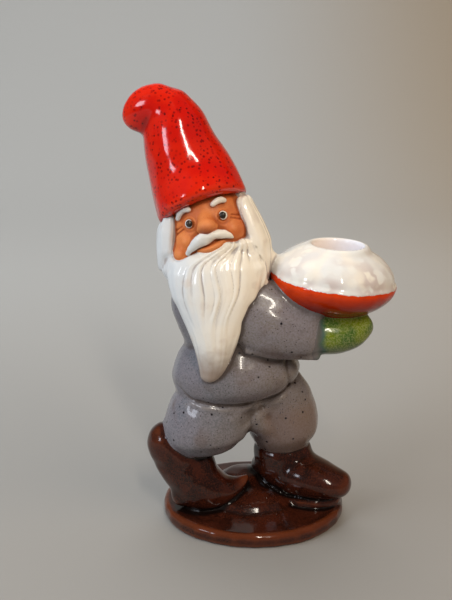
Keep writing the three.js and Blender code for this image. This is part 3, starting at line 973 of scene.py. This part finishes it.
def porridge_glaze():
    """The white glaze over the lumps: cream blobs with mauve-grey glaze pooled between them."""
    low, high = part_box("porridge_mound")
    mix = Recipe("porridge_glaze", 0.12, 0.8)
    stirred = mix.nodes.new("ShaderNodeVectorMath")
    stirred.operation = "ADD"
    wobble = mix.maths("MULTIPLY", mix.noise(5 * MM, 1), 5 * MM)
    mix.links.new(mix.place, stirred.inputs[0])
    mix.links.new(wobble, stirred.inputs[1])
    cells = mix.nodes.new("ShaderNodeTexVoronoi")
    cells.feature = "SMOOTH_F1"
    cells.inputs["Scale"].default_value = 1 / (5 * MM)
    cells.inputs["Smoothness"].default_value = 0.35
    mix.links.new(stirred.outputs["Vector"], cells.inputs["Vector"])
    between = mix.span(cells.outputs["Distance"], 0.3, 0.55)
    patches = mix.span(mix.noise(14 * MM, 1), 0.42, 0.6, 0.15, 1)
    lower = mix.span(mix.height(), high.z, low.z + 0.55 * (high.z - low.z), 0.25, 1)
    pooled = mix.maths("MULTIPLY", mix.maths("MULTIPLY", between, patches), lower)
    mix.start(mix.span(mix.noise(12 * MM), 0.35, 0.65), colour(218, 215, 210), colour(230, 221, 207))
    mix.layer(pooled, colour(198, 184, 178))
    # painted light inside the recess: warm light on the hair's side, cool light on the other, a little
    # lighter against the recess's shade
    side = mix.span(mix.height("X"), socket_floor[0] - SOCKET_RADIUS, socket_floor[0] + SOCKET_RADIUS)
    axis_gap = mix.from_axis(socket_floor[0], socket_floor[1])
    painted_light_in_socket = mix.span(axis_gap, SOCKET_RADIUS + 1.6 * MM, SOCKET_RADIUS + 0.4 * MM)
    mix.layer(painted_light_in_socket, mix.mix(side, colour(234, 218, 205), colour(226, 225, 232)))
    mix.bump(mix.noise(4 * MM), 0.1 * MM)
    return mix.finish()


def brown_glaze():
    mix = Recipe("brown_glaze", 0.14, 0.2)
    broad = mix.span(mix.noise(10 * MM, 3, 0.5), 0.35, 0.65)
    mix.start(broad, colour(29, 11, 7), colour(54, 22, 13))
    mix.layer(mix.span(mix.noise(0.8 * MM, 2), 0.42, 0.68, 0, 0.35), colour(84, 38, 20))
    # nearly black where it pools; orange-brown on the edges, partly the glaze running thin and partly a
    # painted highlight on the rounded edges
    mix.layer(mix.span(mix.ridge(), 0.45, 0.15), colour(16, 8, 6))
    mix.layer(mix.span(mix.ridge(), 0.66, 1, 0, 0.55), colour(106, 50, 23))
    mix.bump(mix.noise(5 * MM), 0.14 * MM)
    return mix.finish()


def green_glaze():
    low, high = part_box("right_mitten")
    mix = Recipe("green_glaze", 0.22, 0.35)
    mix.start(mix.span(mix.noise(9 * MM, 2), 0.38, 0.62), colour(58, 88, 30), colour(102, 116, 18))
    mix.layer(mix.span(mix.noise(0.7 * MM, 1), 0.4, 0.65, 0, 0.45), colour(146, 150, 92))
    # greyer underneath and on the edges
    under = mix.span(mix.height(), low.z + 0.45 * (high.z - low.z), low.z, 0, 0.8)
    mix.layer(under, colour(112, 116, 96))
    mix.layer(mix.span(mix.ridge(), 0.6, 0.98, 0, 0.75), colour(98, 112, 102))
    # at the cuff it turns blue-green, and then grey like the sleeve
    uneven = mix.maths("ADD", mix.height("X"), mix.span(mix.noise(5 * MM), 0, 1, 0, 3 * MM))
    mix.layer(mix.span(uneven, low.x + 8.5 * MM, low.x + 5 * MM), colour(66, 92, 80))
    mix.layer(mix.span(uneven, low.x + 6.5 * MM, low.x + 2.5 * MM), colour(104, 98, 98))
    mix.bump(mix.noise(3 * MM), 0.08 * MM)
    return mix.finish()


def orange_glaze():
    low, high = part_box("bowl")
    mix = Recipe("orange_glaze", 0.18, 0.05)
    share = mix.span(mix.height(), low.z + 0.2 * (high.z - low.z), low.z + 0.75 * (high.z - low.z))
    mix.start(share, colour(122, 14, 0), colour(208, 56, 0))
    mix.layer(mix.span(mix.noise(7 * MM), 0.4, 0.7, 0, 0.35), colour(156, 32, 4))
    mix.bump(mix.noise(5 * MM), 0.1 * MM)
    return mix.finish()


def bare_clay():
    mix = Recipe("bare_clay", 0.5, 0.0)
    mix.start(mix.span(mix.noise(9 * MM, 3), 0.35, 0.65), colour(194, 102, 51), colour(213, 126, 68))
    # darker in the hollows, a painted shade, and lighter on the ridges, a painted highlight
    mix.layer(mix.span(mix.ridge(), 0.4, 0.0, 0, 0.65), colour(150, 66, 28))
    mix.layer(mix.span(mix.ridge(), 0.62, 0.98, 0, 0.6), colour(220, 138, 82))
    # the darker tip of the nose: partly a red-brown tint of the clay, partly painted shade on its lower
    # side
    nose = mix.from_point(on_face(-1.2, 3.6, -5.4))
    mix.layer(mix.span(nose, 4.6 * MM, 1.6 * MM, 0, 0.6), colour(146, 62, 32))
    grain = mix.noise(0.5 * MM, 3)
    mix.layer(mix.span(grain, 0.55, 0.75, 0, 0.25), colour(140, 66, 32))
    mix.bump(grain, 0.08 * MM, 0.6)
    return mix.finish(mix.span(grain, 0.3, 0.7, 0.38, 0.6))


def black_glaze():
    mix = Recipe("black_glaze", 0.35, 0.15)
    mix.start(mix.span(mix.noise(2 * MM, 1), 0.4, 0.6), colour(34, 27, 22), colour(50, 41, 34))
    return mix.finish()


GLAZES = [
    red_glaze,
    grey_glaze,
    white_glaze,
    brown_glaze,
    green_glaze,
    orange_glaze,
    bare_clay,
    black_glaze,
]
glazes = {make.__name__: make() for make in GLAZES}
porridge = porridge_glaze()

for node, _, _ in LAYERS:
    make_piece(node)


# ------------------------------------------------------------------ stage, camera, lights

# The camera's place in metres, how far it looks down, and its sensor and lens in millimetres.
CAMERA_PLACE = (-0.0137, -0.400, 0.232)
CAMERA_TILT = math.radians(16.97)
SENSOR_HEIGHT = 24
LENS = 35.48

# The floor is flat up to where it bends into a wall, in metres.
FLOOR_REACH = 3.0
BEND_START = 0.7
BEND_RADIUS = 0.8
BEND_STEPS = 24


def make_camera():
    """A camera before the figure that looks a little down on it."""
    data = bpy.data.cameras.new("camera")
    data.sensor_fit = "VERTICAL"
    data.sensor_height = SENSOR_HEIGHT
    data.lens = LENS
    data.clip_start = 0.01
    camera = bpy.data.objects.new("camera", data)
    camera.location = CAMERA_PLACE
    camera.rotation_euler = (math.radians(90) - CAMERA_TILT, 0, 0)
    bpy.context.scene.collection.objects.link(camera)
    bpy.context.scene.camera = camera


def paper():
    """The backdrop's paper: warmer on the right, a painted warm light, and darker near the figure, a
    painted shade.
    """
    mix = Recipe("backdrop", 0.8, 0.0)
    # painted warm light towards the right
    right = mix.span(mix.height("X"), -0.05, 0.5)
    mix.start(right, colour(160, 159, 157), colour(150, 136, 118))
    # painted shade on the floor near the figure
    painted_shade_near_figure = mix.span(mix.height("Y"), 0.5, -0.1)
    mix.layer(painted_shade_near_figure, mix.mix(right, colour(140, 137, 133), colour(136, 122, 106)))
    return mix.finish()


def make_backdrop():
    """A floor that sweeps up into a wall behind the figure."""
    profile = [(-FLOOR_REACH, 0.0), (BEND_START, 0.0)]
    for i in range(1, BEND_STEPS + 1):
        angle = math.radians(90 * i / BEND_STEPS)
        y = BEND_START + BEND_RADIUS * math.sin(angle)
        profile.append((y, BEND_RADIUS * (1 - math.cos(angle))))
    profile.append((BEND_START + BEND_RADIUS, FLOOR_REACH))
    points = [(side * FLOOR_REACH, y, z) for y, z in profile for side in (-1, 1)]
    faces = [(2 * i, 2 * i + 1, 2 * i + 3, 2 * i + 2) for i in range(len(profile) - 1)]
    mesh = bpy.data.meshes.new("backdrop")
    mesh.from_pydata(points, [], faces)
    mesh.polygons.foreach_set("use_smooth", [True] * len(faces))
    mesh.materials.append(paper())
    backdrop = bpy.data.objects.new("backdrop", mesh)
    bpy.context.scene.collection.objects.link(backdrop)


def make_light(name, azimuth, height, distance, size, power, tint, mirrored=True):
    """An area light that faces the figure's middle.

    The azimuth is counted from straight before the figure and the height from level, in degrees. A
    light that isn't mirrored lights the glaze but leaves no reflection in it.
    """
    turn = math.radians(azimuth)
    rise = math.radians(height)
    middle = Vector((0, 0, 0.12))
    way = Vector((math.sin(turn) * math.cos(rise), -math.cos(turn) * math.cos(rise), math.sin(rise)))
    data = bpy.data.lights.new(name, "AREA")
    data.shape = "RECTANGLE"
    data.size, data.size_y = size
    data.energy = power
    data.color = tint
    light = bpy.data.objects.new(name, data)
    light.location = middle + distance * way
    light.rotation_euler = (-way).to_track_quat("-Z", "Y").to_euler()
    light.visible_glossy = mirrored
    bpy.context.scene.collection.objects.link(light)


def make_lights():
    """A lamp and a window that show in the glaze, and wide soft lights that don't."""
    make_light("lamp", 12, 43, 1.3, (0.07, 0.5), 6, (1, 0.92, 0.8))
    make_light("window", -49, 21, 1.3, (0.28, 0.34), 3.4, (0.82, 0.88, 1))
    make_light("cool_side", -70, 38, 1.7, (1.4, 1.4), 21, (0.86, 0.94, 1), mirrored=False)
    make_light("warm_side", 60, 35, 1.7, (1.4, 1.4), 13, (1, 0.8, 0.58), mirrored=False)
    make_light("behind", 190, 60, 1.8, (1.6, 1.6), 25, (0.95, 0.98, 1), mirrored=False)
    world = bpy.data.worlds.new("world")
    bpy.context.scene.world = world
    world.use_nodes = True
    background = world.node_tree.nodes["Background"]
    background.inputs["Color"].default_value = (0.62, 0.61, 0.6, 1)
    background.inputs["Strength"].default_value = 0.2


bpy.context.scene.view_settings.view_transform = "Standard"
make_camera()
make_backdrop()
make_lights()
